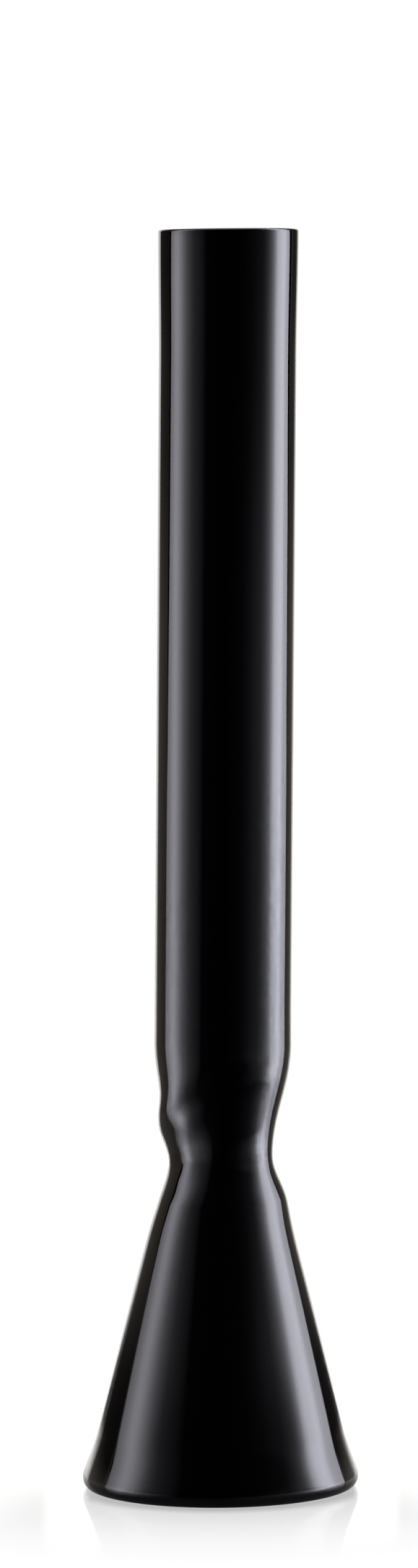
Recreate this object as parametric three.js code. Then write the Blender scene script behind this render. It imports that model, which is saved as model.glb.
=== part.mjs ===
// A tall vase of polished black crystal glass, standing upright. A straight blown tube
// is joined hot to a hollow cone-shaped foot, and the waist where they meet is pressed
// by hand while it is soft, which leaves folds on its left side.
//
// Units are millimetres and +Z is up. The origin is the centre of the base, on the
// plane that the vase stands on. The folds face -X, and the front faces -Y.
import * as THREE from 'three';

const { degToRad, radToDeg, euclideanModulo, smoothstep } = THREE.MathUtils;

// Heights, from the plane that the vase stands on
const HEIGHT = 600;
const WAIST_HEIGHT = 158.5;
const FLARE_HEIGHT = 27;

// Lengths along the vase: from the rim down to where the mouth begins to open, from the
// waist up to the straight tube, and from the waist down to the cone
const MOUTH_LENGTH = 62;
const SHOULDER_LENGTH = 55.5;
const HIP_LENGTH = 21;

// Outside radii, from the rim down to the base
const RIM_RADIUS = 33.5;
const TUBE_RADIUS = 32.9;
const WAIST_RADIUS = 24.7;
const HIP_RADIUS = 31;
const FLARE_RADIUS = 59;
const BASE_RADIUS = 66;

// How far the middle of the cone swells out past a straight side
const CONE_SWELL = 0.25;

// Thickness of the glass, measured level through the wall
const RIM_WALL = 2.6;
const TUBE_WALL = 3;
const WAIST_WALL = 4.6;
const CONE_WALL = 3.8;
const FLOOR_THICKNESS = 8;

// Rounding of the rim, of the base and of the corner inside the base
const RIM_OUTER_ROUND = 1.2;
const RIM_INNER_ROUND = 0.7;
const BASE_ROUND_WIDTH = 3.4;
const BASE_ROUND_HEIGHT = 5;
const BASE_FLARE_ANGLE = degToRad(18);
const FLOOR_CORNER = 18;

// Underside: the flat ring that it stands on, the hollow within the ring, and the
// polished dimple where the blowing iron was broken off
const STANDING_RING_WIDTH = 7;
const PUNT_DEPTH = 3.2;
const PONTIL_RADIUS = 13;
const PONTIL_DEPTH = 1.2;

// The foot leans a little to the right, and the tube a little more. Carried on down, the
// tube's axis would meet the upright over the middle of the base at the pivot's height.
const FOOT_LEAN = degToRad(0.53);
const TUBE_LEAN = degToRad(0.885);
const TUBE_PIVOT_HEIGHT = 38.8;

// Folds of the waist. Each is a soft swelling of the wall, or a hollow where its push is
// negative. rise is its height above the waist, bearing its direction in degrees from
// +X towards +Y, reachUp how far it reaches up and down, and reachRound how many
// degrees it reaches round the wall. climb is how far it rises for each degree round.
const FOLDS = [
  // The big fold, which climbs from the left side towards the front
  { rise: 14, bearing: 170, push: 5, reachUp: 9, reachRound: 45, climb: 0.2 },
  // The hollows over it, on the left and at the front, with a small lump in the front one
  { rise: 25, bearing: 175, push: -1, reachUp: 7, reachRound: 50, climb: 0 },
  { rise: 28, bearing: 240, push: -1.8, reachUp: 5.5, reachRound: 35, climb: 0.3 },
  { rise: 23, bearing: 235, push: 0.7, reachUp: 5, reachRound: 12, climb: 0.2 },
  // The crease that runs down across the big fold from the left to the front
  { rise: 15, bearing: 200, push: -0.7, reachUp: 4.5, reachRound: 18, climb: 0 },
  { rise: 9, bearing: 220, push: -0.8, reachUp: 4, reachRound: 18, climb: 0 },
  // The two thumb prints under it, beside the narrowest place
  { rise: 1, bearing: 208, push: -2, reachUp: 5, reachRound: 16, climb: 0 },
  { rise: 4, bearing: 242, push: -1.5, reachUp: 9, reachRound: 15, climb: 0 },
  // The shoulder, fuller on the right
  { rise: 38, bearing: 0, push: 0.5, reachUp: 10, reachRound: 60, climb: 0 },
  // The top of the foot, drawn in on the left and swollen on the right
  { rise: -21, bearing: 160, push: -1, reachUp: 8.5, reachRound: 70, climb: 0.15 },
  { rise: -15, bearing: -10, push: 1, reachUp: 9, reachRound: 30, climb: -0.25 },
];

// Facets round the vase, and along its curves
const ROUND_STEPS = 56;
const SHOULDER_STEPS = 24;
const HIP_STEPS = 11;
const STRAIGHT_STEPS = 4;
const CURVE_STEPS = 5;
const EDGE_STEPS = 3;

const GLASS_COLOUR = 0x050506;

/** A point of an outline, by its distance from the axis and its height. */
const at = (radius, height) => new THREE.Vector2(radius, height);

const line = (from, to) => new THREE.LineCurve(from, to);

/** A smooth curve with the slope given at each end, as radius gained for height gained. */
function flowing(from, to, fromSlope, toSlope) {
  const third = (to.y - from.y) / 3;
  const leaving = at(from.x + fromSlope * third, from.y + third);
  const arriving = at(to.x - toSlope * third, to.y - third);
  return new THREE.CubicBezierCurve(from, leaving, arriving, to);
}

/** A soft bend from one point to another, towards the corner between them. */
const bend = (from, corner, to) => new THREE.QuadraticBezierCurve(from, corner, to);

/** An arc about a centre, round or oval, between two angles measured up from level. */
function arc(centre, width, height, fromAngle, toAngle) {
  const clockwise = toAngle < fromAngle;
  return new THREE.EllipseCurve(centre.x, centre.y, width, height, fromAngle, toAngle, clockwise);
}

/** Joins curves end to end into one outline, each with its own number of steps. */
function outline(...stretches) {
  const points = [];
  for (const [curve, steps] of stretches) {
    const stretch = curve.getPoints(steps);
    const isFirst = points.length === 0;
    points.push(...(isFirst ? stretch : stretch.slice(1)));
  }
  return points;
}

/** How far the folds push the wall out at a height and a bearing. */
function pushOfFolds(height, bearing) {
  let push = 0;
  for (const fold of FOLDS) {
    const turn = euclideanModulo(bearing - fold.bearing + 180, 360) - 180;
    const crest = WAIST_HEIGHT + fold.rise + fold.climb * turn;
    const up = (height - crest) / fold.reachUp;
    const round = turn / fold.reachRound;
    push += fold.push * Math.exp(-(up * up + round * round) / 2);
  }
  return push;
}

/** How far the wall has moved to the right at a height, because the vase leans. */
function leanAt(height) {
  const share = smoothstep(height, WAIST_HEIGHT - HIP_LENGTH, WAIST_HEIGHT + SHOULDER_LENGTH);
  const footShift = Math.tan(FOOT_LEAN) * height;
  const tubeShift = Math.tan(TUBE_LEAN) * (height - TUBE_PIVOT_HEIGHT);
  return footShift + share * (tubeShift - footShift);
}

/** Spins an outline into a blown shape, and gives its wall what was left by hand. */
function blow(points) {
  const geometry = new THREE.LatheGeometry(points, ROUND_STEPS);
  geometry.rotateX(Math.PI / 2);
  const position = geometry.attributes.position;
  for (let i = 0; i < position.count; i += 1) {
    const [x, y, z] = [position.getX(i), position.getY(i), position.getZ(i)];
    const bearing = Math.atan2(y, x);
    const radius = Math.hypot(x, y) + pushOfFolds(z, radToDeg(bearing));
    const right = radius * Math.cos(bearing) + leanAt(z);
    const back = radius * Math.sin(bearing);
    position.setXYZ(i, right, back, z);
  }
  geometry.computeVertexNormals();
  return geometry;
}

/** The tube, open at both ends: its outline runs up the outside and down the inside. */
function makeTube() {
  const shoulderHeight = WAIST_HEIGHT + SHOULDER_LENGTH;
  const mouthHeight = HEIGHT - MOUTH_LENGTH;
  const boreRadius = TUBE_RADIUS - TUBE_WALL;
  const rimBore = RIM_RADIUS - RIM_WALL;
  const outerRound = at(RIM_RADIUS - RIM_OUTER_ROUND, HEIGHT - RIM_OUTER_ROUND);
  const innerRound = at(rimBore + RIM_INNER_ROUND, HEIGHT - RIM_INNER_ROUND);

  const seamInside = at(WAIST_RADIUS - WAIST_WALL, WAIST_HEIGHT);
  const seamOutside = at(WAIST_RADIUS, WAIST_HEIGHT);
  const shoulderOutside = at(TUBE_RADIUS, shoulderHeight);
  const mouthOutside = at(TUBE_RADIUS, mouthHeight);
  const rimOutside = at(RIM_RADIUS, outerRound.y);
  const rimInside = at(rimBore, innerRound.y);
  const mouthInside = at(boreRadius, mouthHeight);
  const shoulderInside = at(boreRadius, shoulderHeight);

  return blow(outline(
    [line(seamInside, seamOutside), 1],
    [flowing(seamOutside, shoulderOutside, 0, 0), SHOULDER_STEPS],
    [line(shoulderOutside, mouthOutside), STRAIGHT_STEPS],
    [flowing(mouthOutside, rimOutside, 0, 0), CURVE_STEPS],
    [arc(outerRound, RIM_OUTER_ROUND, RIM_OUTER_ROUND, 0, Math.PI / 2), EDGE_STEPS],
    [line(at(outerRound.x, HEIGHT), at(innerRound.x, HEIGHT)), 1],
    [arc(innerRound, RIM_INNER_ROUND, RIM_INNER_ROUND, Math.PI / 2, Math.PI), EDGE_STEPS],
    [flowing(rimInside, mouthInside, 0, 0), CURVE_STEPS],
    [line(mouthInside, shoulderInside), STRAIGHT_STEPS],
    [flowing(shoulderInside, seamInside, 0, 0), SHOULDER_STEPS],
  ));
}

/** The foot: its outline runs from the axis under the base, up the outside, down the
 * inside of the cone, and back to the axis along the floor. */
function makeFoot() {
  const hipHeight = WAIST_HEIGHT - HIP_LENGTH;
  const halfCone = (hipHeight - FLARE_HEIGHT) / 2;
  const coneMiddle = at((HIP_RADIUS + FLARE_RADIUS) / 2 + 2 * CONE_SWELL, hipHeight - halfCone);
  const upperSlope = (HIP_RADIUS - coneMiddle.x) / halfCone;
  const lowerSlope = (coneMiddle.x - FLARE_RADIUS) / halfCone;
  const flareSlope = -Math.tan(BASE_FLARE_ANGLE);
  const baseRound = at(BASE_RADIUS - BASE_ROUND_WIDTH, BASE_ROUND_HEIGHT);
  const roundTopAngle = Math.atan(-flareSlope * BASE_ROUND_HEIGHT / BASE_ROUND_WIDTH);
  const ringInside = at(baseRound.x - STANDING_RING_WIDTH, 0);
  const pontilEdge = at(PONTIL_RADIUS, PUNT_DEPTH);
  const pontilTop = at(0, PUNT_DEPTH + PONTIL_DEPTH);

  const roundTop = at(
    baseRound.x + BASE_ROUND_WIDTH * Math.cos(roundTopAngle),
    baseRound.y + BASE_ROUND_HEIGHT * Math.sin(roundTopAngle),
  );
  const flareOutside = at(FLARE_RADIUS, FLARE_HEIGHT);
  const hipOutside = at(HIP_RADIUS, hipHeight);
  const seamOutside = at(WAIST_RADIUS, WAIST_HEIGHT);
  const seamInside = at(WAIST_RADIUS - WAIST_WALL, WAIST_HEIGHT);
  const hipInside = at(HIP_RADIUS - CONE_WALL, hipHeight);
  const middleInside = at(coneMiddle.x - CONE_WALL, coneMiddle.y);
  const flareInside = at(FLARE_RADIUS - CONE_WALL, FLARE_HEIGHT);
  const floorCorner = at(
    flareInside.x + lowerSlope * (FLOOR_THICKNESS - FLARE_HEIGHT),
    FLOOR_THICKNESS,
  );
  const floorEdge = at(floorCorner.x - FLOOR_CORNER, FLOOR_THICKNESS);

  return blow(outline(
    [bend(pontilTop, at(PONTIL_RADIUS / 2, pontilTop.y), pontilEdge), EDGE_STEPS],
    [bend(pontilEdge, at(ringInside.x / 2, PUNT_DEPTH), ringInside), CURVE_STEPS],
    [line(ringInside, at(baseRound.x, 0)), 1],
    [arc(baseRound, BASE_ROUND_WIDTH, BASE_ROUND_HEIGHT, -Math.PI / 2, 0), CURVE_STEPS],
    [arc(baseRound, BASE_ROUND_WIDTH, BASE_ROUND_HEIGHT, 0, roundTopAngle), 2],
    [flowing(roundTop, flareOutside, flareSlope, lowerSlope), CURVE_STEPS],
    [bend(flareOutside, coneMiddle, hipOutside), STRAIGHT_STEPS],
    [flowing(hipOutside, seamOutside, upperSlope, 0), HIP_STEPS],
    [line(seamOutside, seamInside), 1],
    [flowing(seamInside, hipInside, 0, upperSlope), HIP_STEPS],
    [bend(hipInside, middleInside, flareInside), STRAIGHT_STEPS],
    [bend(flareInside, floorCorner, floorEdge), CURVE_STEPS],
    [line(floorEdge, at(0, FLOOR_THICKNESS)), 1],
  ));
}

/** A named piece of the vase, with its own polished black glass. */
function glassPiece(name, geometry) {
  const glass = new THREE.MeshStandardMaterial({
    color: GLASS_COLOUR,
    roughness: 0.04,
    metalness: 0,
  });
  const piece = new THREE.Mesh(geometry, glass);
  piece.name = name;
  return piece;
}

const vase = new THREE.Group();
vase.add(glassPiece('tube', makeTube()));
vase.add(glassPiece('foot', makeFoot()));

export default vase;
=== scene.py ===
"""A tall vase of polished black crystal glass, standing on a glossy white table.

A straight blown tube is joined to a hollow cone-shaped foot at a waist that was pressed by
hand. Both pieces are remade here as fine meshes on the same sizes as the solids. Lengths
are in metres, angles in degrees, +Z is up, the folds face -X and the camera looks along +Y.
"""

import math

import bpy
from mathutils import Matrix


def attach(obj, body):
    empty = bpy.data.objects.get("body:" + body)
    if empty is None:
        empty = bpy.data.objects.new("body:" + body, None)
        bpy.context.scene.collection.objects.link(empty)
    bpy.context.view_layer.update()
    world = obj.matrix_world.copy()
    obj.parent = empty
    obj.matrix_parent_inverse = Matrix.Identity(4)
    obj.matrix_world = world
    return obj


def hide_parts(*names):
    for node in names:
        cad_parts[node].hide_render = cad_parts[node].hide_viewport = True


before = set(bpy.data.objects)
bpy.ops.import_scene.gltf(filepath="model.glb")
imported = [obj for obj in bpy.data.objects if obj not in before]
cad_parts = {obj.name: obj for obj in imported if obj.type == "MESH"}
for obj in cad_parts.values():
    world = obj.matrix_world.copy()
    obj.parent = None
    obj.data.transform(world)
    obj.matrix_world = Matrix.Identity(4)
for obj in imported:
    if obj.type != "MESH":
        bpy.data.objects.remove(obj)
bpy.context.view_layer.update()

MM = 0.001

# Heights, and lengths along the vase
HEIGHT = 600 * MM
WAIST_HEIGHT = 158.5 * MM
FLARE_HEIGHT = 27 * MM
MOUTH_LENGTH = 62 * MM
SHOULDER_LENGTH = 55.5 * MM
HIP_LENGTH = 21 * MM

# Outside radii, from the rim down to the base
RIM_RADIUS = 33.5 * MM
TUBE_RADIUS = 32.9 * MM
WAIST_RADIUS = 24.7 * MM
HIP_RADIUS = 31 * MM
FLARE_RADIUS = 59 * MM
BASE_RADIUS = 66 * MM

# How far the middle of the cone swells out past a straight side
CONE_SWELL = 0.25 * MM

# Thickness of the glass
RIM_WALL = 2.6 * MM
TUBE_WALL = 3 * MM
WAIST_WALL = 4.6 * MM
CONE_WALL = 3.8 * MM
FLOOR_THICKNESS = 8 * MM

# Rounding of the edges, and the underside
RIM_OUTER_ROUND = 1.2 * MM
RIM_INNER_ROUND = 0.7 * MM
BASE_ROUND_WIDTH = 3.4 * MM
BASE_ROUND_HEIGHT = 5 * MM
BASE_FLARE_ANGLE = 18
FLOOR_CORNER = 18 * MM
STANDING_RING_WIDTH = 7 * MM
PUNT_DEPTH = 3.2 * MM
PONTIL_RADIUS = 13 * MM
PONTIL_DEPTH = 1.2 * MM

# The lean to the right. Carried on down, the tube's axis would meet the upright over the
# middle of the base at the pivot's height.
FOOT_LEAN = 0.53
TUBE_LEAN = 0.885
TUBE_PIVOT_HEIGHT = 38.8 * MM

# Folds of the waist: height above the waist, bearing, push outwards, reach up and down,
# reach round in degrees, and climb for each degree round
FOLDS = [
    (14 * MM, 170, 5 * MM, 9 * MM, 45, 0.2 * MM),
    (25 * MM, 175, -1 * MM, 7 * MM, 50, 0),
    (28 * MM, 240, -1.8 * MM, 5.5 * MM, 35, 0.3 * MM),
    (23 * MM, 235, 0.7 * MM, 5 * MM, 12, 0.2 * MM),
    (15 * MM, 200, -0.7 * MM, 4.5 * MM, 18, 0),
    (9 * MM, 220, -0.8 * MM, 4 * MM, 18, 0),
    (1 * MM, 208, -2 * MM, 5 * MM, 16, 0),
    (4 * MM, 242, -1.5 * MM, 9 * MM, 15, 0),
    (38 * MM, 0, 0.5 * MM, 10 * MM, 60, 0),
    (-21 * MM, 160, -1 * MM, 8.5 * MM, 70, 0.15 * MM),
    (-15 * MM, -10, 1 * MM, 9 * MM, 30, -0.25 * MM),
]

# How finely the pieces are turned, and the angle from which an edge counts as sharp
ROUND_STEPS = 288
SHARP_ANGLE = 40


def line(start, end):
    """A straight stretch of an outline; its points are (radius, height)."""
    return lambda t: (
        start[0] + (end[0] - start[0]) * t,
        start[1] + (end[1] - start[1]) * t,
    )


def bend(start, corner, end):
    """A soft bend from one point to another, towards the corner between them."""
    def point(t):
        weights = ((1 - t) ** 2, 2 * t * (1 - t), t * t)
        return tuple(sum(w * p[i] for w, p in zip(weights, (start, corner, end))) for i in (0, 1))
    return point


def flowing(start, end, start_slope, end_slope):
    """A smooth stretch with the slope given at each end, as radius gained for height."""
    third = (end[1] - start[1]) / 3
    leaving = (start[0] + start_slope * third, start[1] + third)
    arriving = (end[0] - end_slope * third, end[1] - third)

    def point(t):
        s = 1 - t
        weights = (s ** 3, 3 * s * s * t, 3 * s * t * t, t ** 3)
        points = (start, leaving, arriving, end)
        return tuple(sum(w * p[i] for w, p in zip(weights, points)) for i in (0, 1))
    return point


def arc(centre, width, height, from_angle, to_angle):
    """An arc about a centre, round or oval, between two angles measured up from level."""
    def point(t):
        angle = math.radians(from_angle + (to_angle - from_angle) * t)
        return (centre[0] + width * math.cos(angle), centre[1] + height * math.sin(angle))
    return point


def outline(*stretches):
    """Joins stretches end to end into one outline, each with its own number of steps."""
    points = []
    for curve, steps in stretches:
        first = 0 if not points else 1
        points += [curve(i / steps) for i in range(first, steps + 1)]
    return points


def push_of_folds(height, bearing):
    """How far the folds push the wall out at a height and a bearing."""
    push = 0
    for rise, towards, amount, reach_up, reach_round, climb in FOLDS:
        turn = (bearing - towards + 180) % 360 - 180
        up = (height - WAIST_HEIGHT - rise - climb * turn) / reach_up
        push += amount * math.exp(-(up * up + (turn / reach_round) ** 2) / 2)
    return push


def smoothstep(value, low, high):
    """A share that grows smoothly from 0 at the low value to 1 at the high one."""
    share = min(max((value - low) / (high - low), 0), 1)
    return share * share * (3 - 2 * share)


def lean_at(height):
    """How far the wall has moved to the right at a height, because the vase leans."""
    share = smoothstep(height, WAIST_HEIGHT - HIP_LENGTH, WAIST_HEIGHT + SHOULDER_LENGTH)
    foot_shift = math.tan(math.radians(FOOT_LEAN)) * height
    tube_shift = math.tan(math.radians(TUBE_LEAN)) * (height - TUBE_PIVOT_HEIGHT)
    return foot_shift + share * (tube_shift - foot_shift)


def wall_point(radius, height, bearing):
    """Where a point of an outline lies, turned to a bearing and shaped by hand."""
    radius += push_of_folds(height, bearing)
    right = radius * math.cos(math.radians(bearing)) + lean_at(height)
    back = radius * math.sin(math.radians(bearing))
    return (right, back, height)


def blow(name, points, closes):
    """Spins an outline into a smooth blown mesh: a ring of walls if it closes on itself,
    and otherwise a body whose two ends lie on the axis."""
    bearings = [360 * i / ROUND_STEPS for i in range(ROUND_STEPS)]
    rings = points[:-1] if closes else points[1:-1]
    vertices = [wall_point(r, z, b) for r, z in rings for b in bearings]
    faces = []
    pairs = [(i, i + 1) for i in range(len(rings) - 1)]
    if closes:
        pairs.append((len(rings) - 1, 0))
    for low, high in pairs:
        for i in range(ROUND_STEPS):
            j = (i + 1) % ROUND_STEPS
            corners = (low, i), (low, j), (high, j), (high, i)
            faces.append([ring * ROUND_STEPS + step for ring, step in corners])
    if not closes:
        first, last = len(vertices), len(vertices) + 1
        vertices += [(0, 0, points[0][1]), (0, 0, points[-1][1])]
        top_ring = (len(rings) - 1) * ROUND_STEPS
        for i in range(ROUND_STEPS):
            j = (i + 1) % ROUND_STEPS
            faces.append([first, j, i])
            faces.append([last, top_ring + i, top_ring + j])
    mesh = bpy.data.meshes.new(name)
    mesh.from_pydata(vertices, [], faces)
    mesh.validate()
    mesh.shade_smooth()
    mesh.set_sharp_from_angle(angle=math.radians(SHARP_ANGLE))
    piece = bpy.data.objects.new(name, mesh)
    bpy.context.scene.collection.objects.link(piece)
    return piece


def make_tube():
    """The tube, open at both ends: its outline runs up the outside and down the inside."""
    shoulder_height = WAIST_HEIGHT + SHOULDER_LENGTH
    mouth_height = HEIGHT - MOUTH_LENGTH
    bore_radius = TUBE_RADIUS - TUBE_WALL
    rim_bore = RIM_RADIUS - RIM_WALL
    outer_round = (RIM_RADIUS - RIM_OUTER_ROUND, HEIGHT - RIM_OUTER_ROUND)
    inner_round = (rim_bore + RIM_INNER_ROUND, HEIGHT - RIM_INNER_ROUND)

    seam_inside = (WAIST_RADIUS - WAIST_WALL, WAIST_HEIGHT)
    seam_outside = (WAIST_RADIUS, WAIST_HEIGHT)
    shoulder_outside = (TUBE_RADIUS, shoulder_height)
    mouth_outside = (TUBE_RADIUS, mouth_height)
    rim_outside = (RIM_RADIUS, outer_round[1])
    rim_inside = (rim_bore, inner_round[1])
    mouth_inside = (bore_radius, mouth_height)
    shoulder_inside = (bore_radius, shoulder_height)

    return blow("tube_glass", outline(
        (line(seam_inside, seam_outside), 4),
        (flowing(seam_outside, shoulder_outside, 0, 0), 120),
        (line(shoulder_outside, mouth_outside), 24),
        (flowing(mouth_outside, rim_outside, 0, 0), 24),
        (arc(outer_round, RIM_OUTER_ROUND, RIM_OUTER_ROUND, 0, 90), 10),
        (line((outer_round[0], HEIGHT), (inner_round[0], HEIGHT)), 2),
        (arc(inner_round, RIM_INNER_ROUND, RIM_INNER_ROUND, 90, 180), 8),
        (flowing(rim_inside, mouth_inside, 0, 0), 24),
        (line(mouth_inside, shoulder_inside), 24),
        (flowing(shoulder_inside, seam_inside, 0, 0), 48),
    ), closes=True)


def make_foot():
    """The foot: its outline runs from the axis under the base, up the outside, down the
    inside of the cone, and back to the axis along the floor."""
    hip_height = WAIST_HEIGHT - HIP_LENGTH
    half_cone = (hip_height - FLARE_HEIGHT) / 2
    cone_middle = ((HIP_RADIUS + FLARE_RADIUS) / 2 + 2 * CONE_SWELL, hip_height - half_cone)
    upper_slope = (HIP_RADIUS - cone_middle[0]) / half_cone
    lower_slope = (cone_middle[0] - FLARE_RADIUS) / half_cone
    flare_slope = -math.tan(math.radians(BASE_FLARE_ANGLE))
    base_round = (BASE_RADIUS - BASE_ROUND_WIDTH, BASE_ROUND_HEIGHT)
    top_angle = math.degrees(math.atan(-flare_slope * BASE_ROUND_HEIGHT / BASE_ROUND_WIDTH))
    lower_round = arc(base_round, BASE_ROUND_WIDTH, BASE_ROUND_HEIGHT, -90, 0)
    upper_round = arc(base_round, BASE_ROUND_WIDTH, BASE_ROUND_HEIGHT, 0, top_angle)
    ring_inside = (base_round[0] - STANDING_RING_WIDTH, 0)
    pontil_edge = (PONTIL_RADIUS, PUNT_DEPTH)
    pontil_top = (0, PUNT_DEPTH + PONTIL_DEPTH)

    round_top = upper_round(1)
    flare_outside = (FLARE_RADIUS, FLARE_HEIGHT)
    hip_outside = (HIP_RADIUS, hip_height)
    seam_outside = (WAIST_RADIUS, WAIST_HEIGHT)
    seam_inside = (WAIST_RADIUS - WAIST_WALL, WAIST_HEIGHT)
    hip_inside = (HIP_RADIUS - CONE_WALL, hip_height)
    middle_inside = (cone_middle[0] - CONE_WALL, cone_middle[1])
    flare_inside = (FLARE_RADIUS - CONE_WALL, FLARE_HEIGHT)
    floor_corner = (
        flare_inside[0] + lower_slope * (FLOOR_THICKNESS - FLARE_HEIGHT),
        FLOOR_THICKNESS,
    )
    floor_edge = (floor_corner[0] - FLOOR_CORNER, FLOOR_THICKNESS)

    return blow("foot_glass", outline(
        (bend(pontil_top, (PONTIL_RADIUS / 2, pontil_top[1]), pontil_edge), 14),
        (bend(pontil_edge, (ring_inside[0] / 2, PUNT_DEPTH), ring_inside), 24),
        (line(ring_inside, (base_round[0], 0)), 4),
        (lower_round, 24),
        (upper_round, 8),
        (flowing(round_top, flare_outside, flare_slope, lower_slope), 40),
        (bend(flare_outside, cone_middle, hip_outside), 40),
        (flowing(hip_outside, seam_outside, upper_slope, 0), 100),
        (line(seam_outside, seam_inside), 4),
        (flowing(seam_inside, hip_inside, 0, upper_slope), 24),
        (bend(hip_inside, middle_inside, flare_inside), 24),
        (bend(flare_inside, floor_corner, floor_edge), 24),
        (line(floor_edge, (0, FLOOR_THICKNESS)), 12),
    ), closes=False)


class Nodes:
    """Short ways to add nodes to a material's or world's node tree."""

    def __init__(self, owner):
        owner.use_nodes = True
        self.tree = owner.node_tree
        self.tree.nodes.clear()

    def add(self, kind, **settings):
        node = self.tree.nodes.new(kind)
        for name, value in settings.items():
            setattr(node, name, value)
        return node

    def link(self, output, socket):
        self.tree.links.new(output, socket)

    def feed(self, socket, value):
        """Sets a socket to a number or a colour, or links it to another node's output."""
        if isinstance(value, bpy.types.NodeSocket):
            self.link(value, socket)
        else:
            socket.default_value = value

    def math(self, operation, *values):
        node = self.add("ShaderNodeMath", operation=operation)
        for socket, value in zip(node.inputs, values):
            self.feed(socket, value)
        return node.outputs[0]

    def rest_of(self, value):
        """What is left of 1 once the value is taken from it."""
        return self.math("SUBTRACT", 1, value)

    def length(self, vector):
        node = self.add("ShaderNodeVectorMath", operation="LENGTH")
        self.link(vector, node.inputs[0])
        return node.outputs["Value"]

    def remap(self, value, from_low, from_high, to_low, to_high, smooth=True):
        """The value carried from one range to another, held at its ends."""
        kind = "SMOOTHSTEP" if smooth else "LINEAR"
        node = self.add("ShaderNodeMapRange", interpolation_type=kind, clamp=True)
        for name, number in (
            ("Value", value),
            ("From Min", from_low),
            ("From Max", from_high),
            ("To Min", to_low),
            ("To Max", to_high),
        ):
            self.feed(node.inputs[name], number)
        return node.outputs["Result"]

    def ramp(self, value, stops):
        """A level that follows the value along stops, each a place and the level there."""
        low, high = stops[0][0], stops[-1][0]
        most = max(level for place, level in stops)
        node = self.add("ShaderNodeValToRGB")
        self.link(self.remap(value, low, high, 0, 1, smooth=False), node.inputs["Fac"])
        elements = node.color_ramp.elements
        elements[0].position, elements[1].position = 0, 1
        for place, level in stops[1:-1]:
            elements.new((place - low) / (high - low))
        for element, (place, level) in zip(elements, stops):
            element.color = (level / most, level / most, level / most, 1)
        return self.math("MULTIPLY", node.outputs["Color"], most)

    def stretch(self, place, scale, turn=0):
        """A place scaled along each axis, after a turn about the upright in degrees."""
        node = self.add("ShaderNodeMapping")
        self.link(place, node.inputs["Vector"])
        node.inputs["Rotation"].default_value = (0, 0, math.radians(turn))
        node.inputs["Scale"].default_value = scale
        return node.outputs[0]

    def noise(self, place, scale, detail):
        node = self.add("ShaderNodeTexNoise")
        self.link(place, node.inputs["Vector"])
        node.inputs["Scale"].default_value = scale
        node.inputs["Detail"].default_value = detail
        return node.outputs["Fac"]

    def mix(self, share, first, second, data_type="FLOAT"):
        """The first value at a share of 0, the second at 1, and a blend in between."""
        node = self.add("ShaderNodeMix", data_type=data_type)
        sockets = [s for s in node.inputs if s.enabled]
        for socket, value in zip(sockets, (share, first, second)):
            self.feed(socket, value)
        return next(s for s in node.outputs if s.enabled)

    def mix_shader(self, share, first, second):
        node = self.add("ShaderNodeMixShader")
        for socket, value in zip(node.inputs, (share, first, second)):
            self.feed(socket, value)
        return node.outputs[0]

    def camera_ray(self):
        """1 for what the camera sees itself, 0 for what reflections and light see."""
        return self.add("ShaderNodeLightPath").outputs["Is Camera Ray"]

    def finish(self, shader, kind="Material"):
        self.link(shader, self.add("ShaderNodeOutput" + kind).inputs["Surface"])


# The photograph's camera: lens and sensor in millimetres, where it is, how far it sees, and
# how many degrees it is turned down, to the left and clockwise
CAMERA_LENS = 151.03
SENSOR_WIDTH = 36
CAMERA_PLACE = (0, -3.125, 0.5454)
CAMERA_REACH = 50
PITCH_DOWN = 3.818
TURN_LEFT = 0.0507
ROLL = 0.48


def make_camera():
    """The photograph's camera, a little below the height of the rim."""
    data = bpy.data.cameras.new("camera")
    data.sensor_width = SENSOR_WIDTH
    data.lens = CAMERA_LENS
    camera = bpy.data.objects.new("camera", data)
    camera.location = CAMERA_PLACE
    turned = Matrix.Rotation(math.radians(TURN_LEFT), 3, "Z")
    pitched = Matrix.Rotation(math.radians(90 - PITCH_DOWN), 3, "X")
    rolled = Matrix.Rotation(math.radians(-ROLL), 3, "Z")
    camera.rotation_euler = (turned @ pitched @ rolled).to_euler()
    data.clip_end = CAMERA_REACH
    bpy.context.scene.collection.objects.link(camera)
    bpy.context.scene.camera = camera


# From here on, a list of pairs gives stops, each a place and the level there. A tuple of
# four numbers gives one change: the two places that it lies between, then the two levels.
# Azimuths are in degrees away from the photograph's camera, elevations in degrees above
# level, heights and distances in metres.

# The studio: how bright it is at each azimuth. Each side has one tall softbox that ends
# sharply towards the back, a dark gap behind it, and the white background behind that.
LEFT_SIDE = [
    (0, 0), (36, 0.01), (43, 0.13), (52, 0.26), (60, 0.45), (67, 0.9), (73, 1.45),
    (78, 2.3), (83, 3.3), (88, 4.2), (92, 4.5), (96, 4.2), (100, 3.4), (104, 2.6),
    (109.5, 1.9), (112, 1.35), (112.8, 0.05), (140, 0.06), (144.5, 0.1),
    (147, 0.75), (148.6, 1.2), (153, 1.5), (166, 1.5), (180, 1.4),
]
RIGHT_SIDE = [
    (0, 0), (26, 0.02), (40, 0.08), (50, 0.18), (60, 0.29), (67, 0.6), (73, 1.15),
    (78, 1.95), (83, 3.6), (88, 6.8), (92, 8), (96, 8.2), (101, 8.2), (105, 7.8),
    (109, 6.5), (112, 4.9), (116, 3.9), (121, 3.2), (125.8, 2.5), (126.4, 0.05),
    (146, 0.1), (150, 0.3), (153, 0.65), (157, 1.05), (162, 1.3), (180, 1.4),
]
BACKGROUND_START = 135

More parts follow.
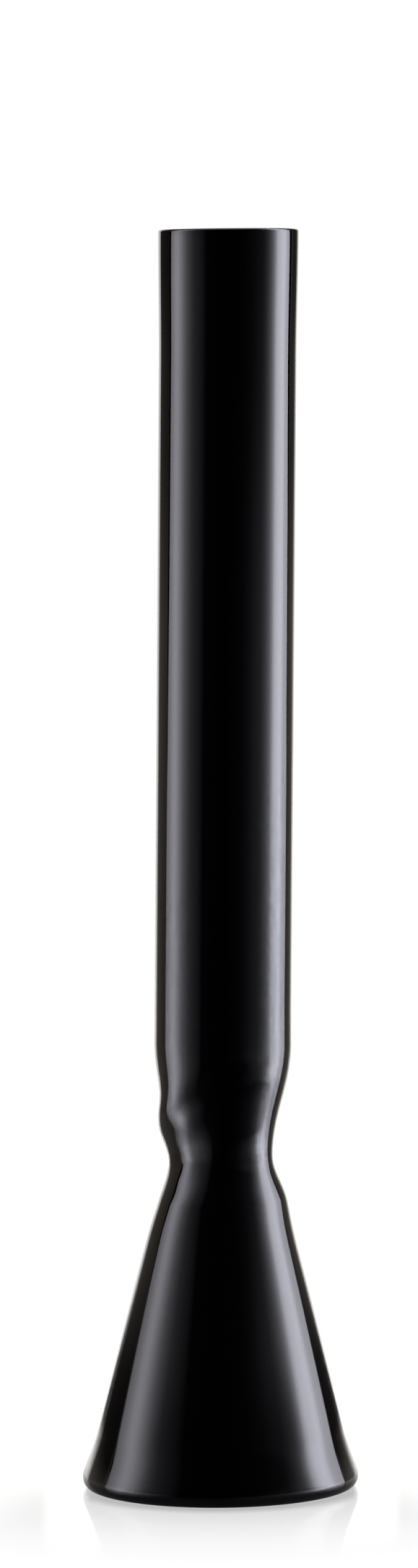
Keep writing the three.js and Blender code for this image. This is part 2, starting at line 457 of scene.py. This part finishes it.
# How the softboxes fall off by elevation, and where the ceiling takes over from them
LEFT_FALL = (-3, 6, 1, 0.78)
RIGHT_FALL = (-3, 6, 1, 0.95)
CEILING_SHARE = (44, 64, 0, 1)
CEILING = 1.2

# A faint warm haze from the start of the gap backwards
HAZE_START = 112.5
HAZE = 0.19

LEFT_TINT = (0.97, 0.95, 1.05, 1)
RIGHT_TINT = (0.95, 0.96, 1.08, 1)
HAZE_TINT = (1, 0.86, 0.68, 1)
WHITE = (1, 1, 1, 1)

# The table as the glass sees it: how bright it is by azimuth, first within the vase's shade
# and then beyond it, where the shade ends by distance from the vase's axis, and how much of
# the table shows there in front of the mirrored softboxes
LEFT_SHADE = [(0, 0.06), (40, 0.08), (90, 0.11), (140, 0.3), (180, 0.45)]
RIGHT_SHADE = [(0, 0.06), (40, 0.1), (90, 0.2), (140, 0.35), (180, 0.45)]
LEFT_TABLE = [(0, 0), (40, 0.06), (90, 0.19), (180, 1.2)]
RIGHT_TABLE = [(0, 0), (40, 0.39), (90, 1.3), (180, 1.2)]
SHADE_END = [(0.05, 0), (0.07, 0), (0.09, 0.5), (0.12, 1), (0.7, 1)]
LEFT_TABLE_SHARE = [(0.05, 1), (0.13, 1), (0.16, 0.93), (0.25, 0.5), (0.4, 0.13), (0.7, 0)]
RIGHT_TABLE_SHARE = [(0.05, 1), (0.094, 1), (0.135, 0.5), (0.19, 0), (0.7, 0)]

# The table as the camera sees it: how white it is by distance from the vase's axis, and how
# much it mirrors there when it is seen at a low angle
CONTACT_SHADOW = [
    (0.05, 0.8), (0.067, 0.84), (0.074, 0.92), (0.085, 0.955), (0.11, 0.98), (0.14, 0.995),
    (0.16, 1), (0.205, 1),
]
MIRROR_SHARE = [
    (0.05, 0.41), (0.068, 0.41), (0.074, 0.3), (0.078, 0.21), (0.085, 0.205), (0.11, 0.145),
    (0.13, 0.1), (0.15, 0.067), (0.17, 0.04), (0.19, 0.02), (0.205, 0),
]
MIRROR_ROUGHNESS = 0.05

# The table's gloss by its Fresnel share: how much it mirrors for the camera, and how much
# of it isn't mirror for the glass
TABLE_IOR = 1.5
GLOSS = (0.06, 0.3, 0, 1)
MATT = (0.1, 1, 1, 0)

# Half the table's width, and how far its top lies under the base
TABLE_HALF = 4
TABLE_DROP = 0.2 * MM

# Two round veils that only the glass sees the studio through: how far off each is, how far
# both reach up and down, and how many degrees there are to a face
NEAR_VEIL = 0.12
FAR_VEIL = 1.2
VEIL_HEIGHT = 2.4
VEIL_STEP = 5

# The far veil: where each softbox ends, by how many degrees it is narrowed at each height,
# how soft that end is, and the full softbox's own end, past which nothing more is cut
LEFT_END = 111.8
RIGHT_END = 125.4
LEFT_TAPER = [
    (0, 0), (0.25, 0), (0.3, 1.9), (0.34, 2.5), (0.42, 4), (0.5, 4.3), (0.62, 5.4), (1, 6),
]
RIGHT_TAPER = [
    (0, 0), (0.24, 0), (0.29, 2), (0.42, 3.6), (0.47, 5.4), (0.54, 6.9), (0.62, 7.6), (1, 8),
]
NARROWED_EDGE = (-0.4, 0.4, 0, 1)
FULL_EDGE = (-0.1, 0.3, 1, 0)

# The far veil on the right: what dims the softbox's front part high up, by azimuth and by
# height, and how much it lets through low down, in its front part and its back part
HIGH_FRONT_AZIMUTHS = (52, 84, 0.6, 0)
HIGH_FRONT_HEIGHTS = (0.36, 0.56, 0, 1)
BACK_PART = (88, 108, 0, 1)
RIGHT_FRONT_BY_HEIGHT = [
    (-0.4, 0.25), (-0.31, 0.25), (-0.27, 0.6), (-0.2, 0.8), (-0.15, 1), (0, 0.85), (0.09, 0.8),
    (0.25, 1), (0.4, 1),
]
RIGHT_BACK_BY_HEIGHT = [(-0.4, 0.5), (-0.26, 0.78), (-0.17, 0.88), (-0.07, 1), (0.4, 1)]

# The near veil: where the gap starts on it, by height, since the foot is wide and the tube
# slim, how soft its two edges are, and how much it lets through there. It is clear right
# above the table, which would mirror it.
LEFT_GAP_START = (0.03, 0.16, 87, 99)
RIGHT_GAP_START = (0.03, 0.16, 98, 111)
GAP_START_EDGE = (0, 4, 0, 1)
GAP_END_EDGE = (131, 136, 1, 0)
GAP_BY_HEIGHT = [
    (0, 1), (0.012, 1), (0.03, 0.12), (0.045, 0.12), (0.065, 0.17), (0.085, 0.4),
    (0.12, 0.75), (0.17, 0.85), (0.3, 0.8), (0.37, 0.85), (0.41, 0.9), (0.45, 0.65),
    (0.49, 0.43), (0.54, 0.4), (0.58, 0.22), (0.6, 0.22),
]

# The near veil: what dims the softboxes' front parts low down, by azimuth and by height,
# and how that starts just above the table
LEFT_LOW_FRONT = (46, 58, 0.35, 0)
RIGHT_LOW_FRONT = (54, 74, 0.6, 0)
LOW_FRONT_HEIGHTS = (0.045, 0.1, 1, 0)
OFF_TABLE = (0.006, 0.014, 0, 1)


def sides_of(n, vector):
    """Splits a direction or a place into its degrees away from the camera, whether it is on
    the right, and its upward part."""
    xyz = n.add("ShaderNodeSeparateXYZ")
    n.link(vector, xyz.inputs[0])
    right, back, up = xyz.outputs
    towards_camera = n.math("MULTIPLY", back, -1)
    azimuth = n.math("DEGREES", n.math("ARCTAN2", right, towards_camera))
    return n.math("ABSOLUTE", azimuth), n.math("GREATER_THAN", azimuth, 0), up


def light_studio():
    """Camera rays see plain white. All others see the studio, by the direction they go."""
    world = bpy.data.worlds.new("studio")
    bpy.context.scene.world = world
    n = Nodes(world)
    from_front, on_right, up = sides_of(n, n.add("ShaderNodeTexCoord").outputs["Generated"])
    elevation = n.math("DEGREES", n.math("ARCSINE", up))

    sides = [
        n.math("MULTIPLY", n.ramp(from_front, side), n.remap(elevation, *fall))
        for side, fall in ((LEFT_SIDE, LEFT_FALL), (RIGHT_SIDE, RIGHT_FALL))
    ]
    level = n.mix(n.remap(elevation, *CEILING_SHARE), n.mix(on_right, *sides), CEILING)
    softbox_tint = n.mix(on_right, LEFT_TINT, RIGHT_TINT, "RGBA")
    behind = n.math("GREATER_THAN", from_front, BACKGROUND_START)
    tint = n.mix(behind, softbox_tint, WHITE, "RGBA")
    haze = n.math("MULTIPLY", n.math("GREATER_THAN", from_front, HAZE_START), HAZE)

    studio = n.add("ShaderNodeAddShader")
    for socket, colour, strength in ((0, tint, level), (1, HAZE_TINT, haze)):
        light = n.add("ShaderNodeBackground")
        n.feed(light.inputs["Color"], colour)
        n.feed(light.inputs["Strength"], strength)
        n.link(light.outputs[0], studio.inputs[socket])
    white = n.add("ShaderNodeBackground")
    white.inputs["Color"].default_value = WHITE
    n.finish(n.mix_shader(n.camera_ray(), studio.outputs[0], white.outputs[0]), "World")


def stage_piece(name, vertices, faces):
    """A piece of the stage with a material of its own, and that material's nodes."""
    mesh = bpy.data.meshes.new(name)
    mesh.from_pydata(vertices, [], faces)
    piece = bpy.data.objects.new(name, mesh)
    bpy.context.scene.collection.objects.link(piece)
    material = bpy.data.materials.new(name)
    mesh.materials.append(material)
    return piece, Nodes(material)


def make_table():
    """The white table. The camera sees it white, softly shaded round the base, with the
    vase's reflection near the base. The glass sees it in the vase's shade close by, and the
    mirrored softboxes beyond it."""
    corners = [(-1, -1), (1, -1), (1, 1), (-1, 1)]
    vertices = [(TABLE_HALF * x, TABLE_HALF * y, 0) for x, y in corners]
    table, n = stage_piece("table_top", vertices, [(0, 1, 2, 3)])
    table.location.z = -TABLE_DROP

    place = n.add("ShaderNodeNewGeometry").outputs["Position"]
    from_front, on_right, _ = sides_of(n, place)
    from_axis = n.length(place)
    fresnel = n.add("ShaderNodeFresnel")
    fresnel.inputs["IOR"].default_value = TABLE_IOR

    gloss = n.remap(fresnel.outputs[0], *GLOSS)
    mirror_share = n.math("MULTIPLY", gloss, n.ramp(from_axis, MIRROR_SHARE))
    white = n.add("ShaderNodeEmission")
    n.link(n.ramp(from_axis, CONTACT_SHADOW), white.inputs["Strength"])
    mirror = n.add("ShaderNodeBsdfGlossy")
    mirror.inputs["Roughness"].default_value = MIRROR_ROUGHNESS
    mirror.inputs["Color"].default_value = WHITE
    for_camera = n.mix_shader(mirror_share, white.outputs[0], mirror.outputs[0])

    def by_side(value, left_stops, right_stops):
        return n.mix(on_right, n.ramp(value, left_stops), n.ramp(value, right_stops))

    shade = by_side(from_front, LEFT_SHADE, RIGHT_SHADE)
    beyond = by_side(from_front, LEFT_TABLE, RIGHT_TABLE)
    lit = n.add("ShaderNodeEmission")
    n.link(n.mix(n.ramp(from_axis, SHADE_END), shade, beyond), lit.inputs["Strength"])
    matt = n.remap(fresnel.outputs[0], *MATT, smooth=False)
    share = n.math("MULTIPLY", by_side(from_axis, LEFT_TABLE_SHARE, RIGHT_TABLE_SHARE), matt)
    clear = n.add("ShaderNodeBsdfTransparent")
    for_glass = n.mix_shader(share, clear.outputs[0], lit.outputs[0])

    n.finish(n.mix_shader(n.camera_ray(), for_glass, for_camera))


def make_veil(name, distance, shown_share):
    """A round veil that the camera looks through and the glass doesn't. It lets through the
    share of the studio's light that shown_share makes from a place on it."""
    bearings = [math.radians(angle) for angle in range(0, 360, VEIL_STEP)]
    vertices = [
        (distance * math.cos(b), distance * math.sin(b), height)
        for height in (-VEIL_HEIGHT, VEIL_HEIGHT)
        for b in bearings
    ]
    count = len(bearings)
    pairs = [(i, (i + 1) % count) for i in range(count)]
    faces = [(i, j, count + j, count + i) for i, j in pairs]
    veil, n = stage_piece(name, vertices, faces)

    place = n.add("ShaderNodeNewGeometry").outputs["Position"]
    shown = shown_share(n, *sides_of(n, place))
    clear = n.add("ShaderNodeBsdfTransparent")
    n.link(n.mix(n.camera_ray(), shown, 1.0), clear.inputs["Color"])
    n.finish(clear.outputs[0])


def far_veil_share(n, from_front, on_right, height):
    """Narrows the softboxes with height, and dims the right one high up and low down."""
    narrowed = n.mix(on_right, n.ramp(height, LEFT_TAPER), n.ramp(height, RIGHT_TAPER))
    past_end = n.math("SUBTRACT", from_front, n.mix(on_right, LEFT_END, RIGHT_END))
    cut = n.math(
        "MULTIPLY",
        n.remap(n.math("ADD", past_end, narrowed), *NARROWED_EDGE),
        n.remap(past_end, *FULL_EDGE),
    )
    high_front = n.math(
        "MULTIPLY",
        n.remap(from_front, *HIGH_FRONT_AZIMUTHS),
        n.remap(height, *HIGH_FRONT_HEIGHTS),
    )
    low = n.mix(
        n.remap(from_front, *BACK_PART),
        n.ramp(height, RIGHT_FRONT_BY_HEIGHT),
        n.ramp(height, RIGHT_BACK_BY_HEIGHT),
    )
    right_share = n.math("MULTIPLY", low, n.rest_of(high_front))
    beside = n.math("LESS_THAN", from_front, BACKGROUND_START)
    share = n.mix(n.math("MULTIPLY", on_right, beside), 1.0, right_share)
    return n.math("MULTIPLY", share, n.rest_of(cut))


def near_veil_share(n, from_front, on_right, height):
    """Darkens the gaps by height, and dims the softboxes' front parts low down."""
    gap_start = n.mix(
        on_right,
        n.remap(height, *LEFT_GAP_START, smooth=False),
        n.remap(height, *RIGHT_GAP_START, smooth=False),
    )
    in_gap = n.math(
        "MULTIPLY",
        n.remap(n.math("SUBTRACT", from_front, gap_start), *GAP_START_EDGE),
        n.remap(from_front, *GAP_END_EDGE),
    )
    gap = n.mix(in_gap, 1.0, n.ramp(height, GAP_BY_HEIGHT))
    front = n.mix(
        on_right,
        n.remap(from_front, *LEFT_LOW_FRONT),
        n.remap(from_front, *RIGHT_LOW_FRONT),
    )
    low = n.math("MULTIPLY", n.remap(height, *LOW_FRONT_HEIGHTS), n.remap(height, *OFF_TABLE))
    return n.math("MULTIPLY", gap, n.rest_of(n.math("MULTIPLY", low, front)))


# The glass's noises: how many features to a metre, and how many finer layers each has
RIPPLE = (60, 1)
DRIFT = (14, 2)
POLISH = (22, 3)
GRAIN = (5200, 4)
SCRATCHES = (2400, 2)
SPECKS = (2600, 2)
EDGE_WANDER = (90, 3)

# The ripple and the drift run along the vase, and the scratches at a slant across it
RIPPLE_STRETCH = (1, 1, 0.25)
DRIFT_STRETCH = (1, 1, 0.3)
SCRATCH_STRETCH = (1, 0.03, 1)
SCRATCH_TURN = 35

# What each noise is turned into: drift of the black, specks, and the two roughnesses
DRIFT_SHARE = (0.3, 0.7, 0, 1)
SPECK_SHARE = (0.3, 0.36, 0, 1)
POLISHED_ROUGHNESS = (0.35, 0.75, 0.008, 0.016)
GROUND_ROUGHNESS = (0.3, 0.7, 0.42, 0.6)

# Bluer and browner black, and darker and paler ground glass
BLUE_BLACK = (0.0008, 0.0009, 0.0014, 1)
BROWN_BLACK = (0.0013, 0.0011, 0.0012, 1)
DARK_GROUND = (0.028, 0.028, 0.031, 1)
PALE_GROUND = (0.055, 0.055, 0.06, 1)
GLASS_IOR = 1.52

# The ripple and the ground surface as bumps: how strong, and how deep
RIPPLE_STRENGTH = 0.05
RIPPLE_DEPTH = 0.2 * MM
GROUND_STRENGTH = 0.6
GROUND_DEPTH = 0.05 * MM

# The ground ring: how far its edges wander, and how it fades out past its outer edge, past
# its inner edge and above the table
RING_WANDER = 0.9 * MM
PAST_OUTER_EDGE = (0.5 * MM, 0.8 * MM, 1, 0)
PAST_INNER_EDGE = (-0.4 * MM, 0, 0, 1)
GROUND_HEIGHTS = (0.2 * MM, 0.3 * MM, 1, 0)


def ground_share(n, place):
    """How much of the glass is ground matt at a place: all of the standing ring, with an
    uneven edge and with clear specks where the grinding stone didn't reach."""
    xyz = n.add("ShaderNodeSeparateXYZ")
    n.link(place, xyz.inputs[0])
    flat = n.add("ShaderNodeCombineXYZ")
    for axis in (0, 1):
        n.link(xyz.outputs[axis], flat.inputs[axis])

    wander = n.math("SUBTRACT", n.noise(place, *EDGE_WANDER), 0.5)
    radius = n.math("ADD", n.length(flat.outputs[0]), n.math("MULTIPLY", wander, RING_WANDER))
    outer = BASE_RADIUS - BASE_ROUND_WIDTH
    inner = outer - STANDING_RING_WIDTH
    share = n.remap(n.noise(place, *SPECKS), *SPECK_SHARE)
    for value, change in (
        (n.math("SUBTRACT", radius, outer), PAST_OUTER_EDGE),
        (n.math("SUBTRACT", radius, inner), PAST_INNER_EDGE),
        (xyz.outputs[2], GROUND_HEIGHTS),
    ):
        share = n.math("MULTIPLY", share, n.remap(value, *change))
    return share


def make_black_glass():
    """Opaque black glass, fire-polished, with the slight ripple of a blown wall, and ground
    matt where it stands."""
    material = bpy.data.materials.new("black_glass")
    n = Nodes(material)
    place = n.add("ShaderNodeTexCoord").outputs["Object"]
    ground = ground_share(n, place)
    ripple = n.noise(n.stretch(place, RIPPLE_STRETCH), *RIPPLE)
    grain = n.noise(place, *GRAIN)
    scratches = n.noise(n.stretch(place, SCRATCH_STRETCH, SCRATCH_TURN), *SCRATCHES)

    waves = n.add("ShaderNodeBump")
    waves.inputs["Strength"].default_value = RIPPLE_STRENGTH
    waves.inputs["Distance"].default_value = RIPPLE_DEPTH
    n.link(ripple, waves.inputs["Height"])
    rough = n.add("ShaderNodeBump")
    rough.inputs["Distance"].default_value = GROUND_DEPTH
    n.link(n.math("MULTIPLY", ground, GROUND_STRENGTH), rough.inputs["Strength"])
    n.link(n.math("ADD", grain, scratches), rough.inputs["Height"])
    n.link(waves.outputs[0], rough.inputs["Normal"])

    # The black drifts a little between bluer and browner, as molten glass does
    drift = n.remap(n.noise(n.stretch(place, DRIFT_STRETCH), *DRIFT), *DRIFT_SHARE)
    body = n.mix(drift, BLUE_BLACK, BROWN_BLACK, "RGBA")
    ground_colour = n.mix(grain, DARK_GROUND, PALE_GROUND, "RGBA")
    polish = n.remap(n.noise(place, *POLISH), *POLISHED_ROUGHNESS)
    ground_roughness = n.remap(grain, *GROUND_ROUGHNESS)

    glass = n.add("ShaderNodeBsdfPrincipled")
    n.link(n.mix(ground, body, ground_colour, "RGBA"), glass.inputs["Base Color"])
    n.link(n.mix(ground, polish, ground_roughness), glass.inputs["Roughness"])
    glass.inputs["IOR"].default_value = GLASS_IOR
    n.link(rough.outputs[0], glass.inputs["Normal"])
    n.finish(glass.outputs[0])
    return material


bpy.context.scene.view_settings.view_transform = "Standard"
make_camera()
light_studio()
make_table()
make_veil("near_veil", NEAR_VEIL, near_veil_share)
make_veil("far_veil", FAR_VEIL, far_veil_share)

black_glass = make_black_glass()
for piece, node in ((make_tube(), "tube"), (make_foot(), "foot")):
    piece.data.materials.append(black_glass)
    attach(piece, "root")
    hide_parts(node)
